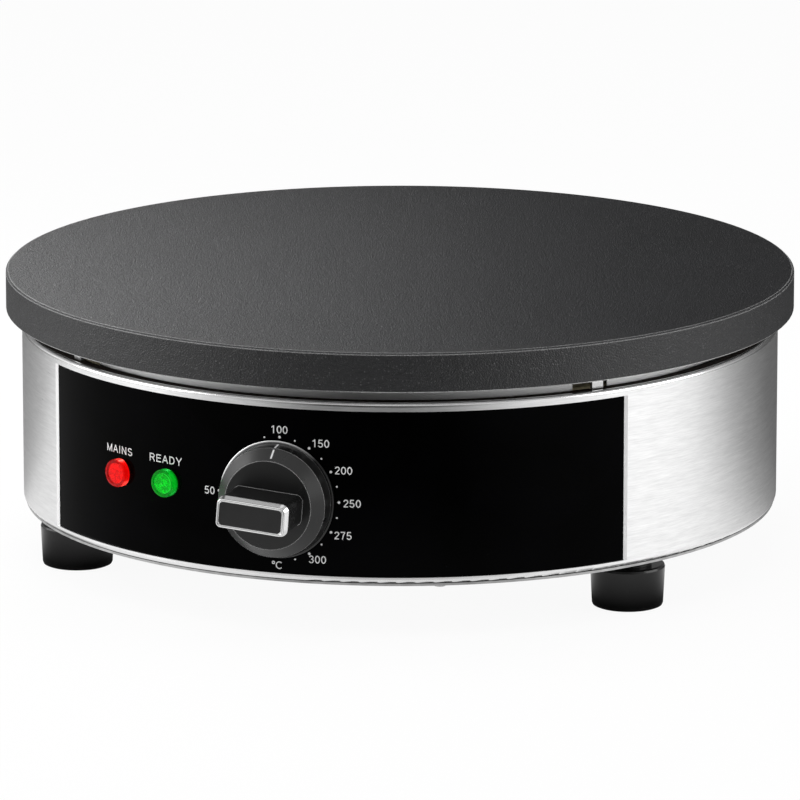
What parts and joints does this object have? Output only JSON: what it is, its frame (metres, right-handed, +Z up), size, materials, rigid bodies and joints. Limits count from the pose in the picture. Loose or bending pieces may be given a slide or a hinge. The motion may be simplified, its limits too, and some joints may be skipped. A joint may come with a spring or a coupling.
{
  "type": "electric crepe maker",
  "caption": "Round electric crepe maker: cast hot plate on necked legs over a brushed drum, gloss curved control panel with dial knob and two lamps, low round feet.",
  "frame": {"origin": "centre of the whole footprint at floor level, under the machine", "axes": "+Z up, the control panel and knob face -Y, +X is the user's right"},
  "size_m": [0.3999, 0.4454, 0.1445],
  "materials": {
    "plate_coating": "fine-grained dark non-stick coating, bare at the lower edge",
    "heater_sheath": "heat-dulled steel tube",
    "zinc_fasteners": "zinc plated",
    "plain_steel": "plain sheet steel",
    "copper": "bare copper",
    "mineral_wool": "pressed mineral wool",
    "pan_steel": "aluminised sheet",
    "leg_steel": "satin stainless",
    "drum_steel": "stainless brushed round the drum, polished rim",
    "panel_gloss": "deep gloss black",
    "base_steel": "galvanised sheet",
    "foot_rubber": "satin moulded",
    "bezel_plastic": "gloss moulded",
    "knob_plastic": "satin moulded, heat resistant",
    "trim_chrome": "bright chrome",
    "insert_gloss": "gloss black",
    "shaft_steel": "turned",
    "saddle_casting": "die cast",
    "thermostat_case": "moulded",
    "lens_red": "clear red with a facetted back",
    "lens_green": "clear green with a facetted back",
    "lamp_nylon": "moulded",
    "black_nylon": "moulded",
    "seal_rubber": "soft moulded",
    "ceramic": "pressed steatite",
    "brass": "turned",
    "lead_brown": "silicone sleeve",
    "lead_blue": "silicone sleeve",
    "lead_green": "silicone sleeve",
    "lead_white": "silicone sleeve"
  },
  "bodies": {
    "machine": {"crepe_plate": "plate_coating", "heater_inner": "heater_sheath", "heater_middle": "heater_sheath", "heater_outer": "heater_sheath", "heater_studs": "zinc_fasteners", "heater_bars": "plain_steel", "heater_nuts": "zinc_fasteners", "heater_links": "copper", "heater_link_nuts": "zinc_fasteners", "insulation_blanket": "mineral_wool", "heater_pan": "pan_steel", "pan_nuts": "zinc_fasteners", "leg_front_left": "leg_steel", "leg_front_right": "leg_steel", "leg_rear_left": "leg_steel", "leg_rear_right": "leg_steel", "leg_top_screws": "zinc_fasteners", "leg_base_screws": "zinc_fasteners", "leg_base_nuts": "zinc_fasteners", "thermostat_bulb": "copper", "capillary_tube": "copper", "bulb_clip": "plain_steel", "bulb_clip_screws": "zinc_fasteners", "drum_body": "drum_steel", "control_panel": "panel_gloss", "panel_nuts": "zinc_fasteners", "base_plate": "base_steel", "base_screws": "zinc_fasteners", "base_nuts": "zinc_fasteners", "foot_left": "foot_rubber", "foot_right": "foot_rubber", "foot_rear": "foot_rubber", "foot_screws": "zinc_fasteners", "foot_nuts": "zinc_fasteners", "knob_bezel": "bezel_plastic", "thermostat_saddle": "saddle_casting", "thermostat_body": "thermostat_case", "thermostat_screws": "zinc_fasteners", "power_lamp_lens": "lens_red", "power_lamp_body": "lamp_nylon", "heat_lamp_lens": "lens_green", "heat_lamp_body": "lamp_nylon", "lamp_nuts": "black_nylon", "thermal_cutout": "ceramic", "cutout_screws": "zinc_fasteners", "terminal_block": "ceramic", "terminal_screws": "zinc_fasteners", "earth_stud": "brass", "gland_body": "black_nylon", "gland_seal": "seal_rubber", "gland_nut": "black_nylon", "gland_locknut": "black_nylon", "line_leads": "lead_brown", "neutral_leads": "lead_blue", "earth_lead": "lead_green", "lamp_leads": "lead_white"},
    "knob": {"knob_body": "knob_plastic", "knob_trim": "trim_chrome", "knob_insert": "insert_gloss", "thermostat_shaft": "shaft_steel"}
  },
  "joints": [
    {"name": "knob_turn", "type": "hinge", "parent": "machine", "child": "knob", "pos_m": [-0.01574, -0.1959, 0.0674], "axis": [0.0767, 0.9971, 0], "range_deg": [-92.4, 142.9]}
  ]
}
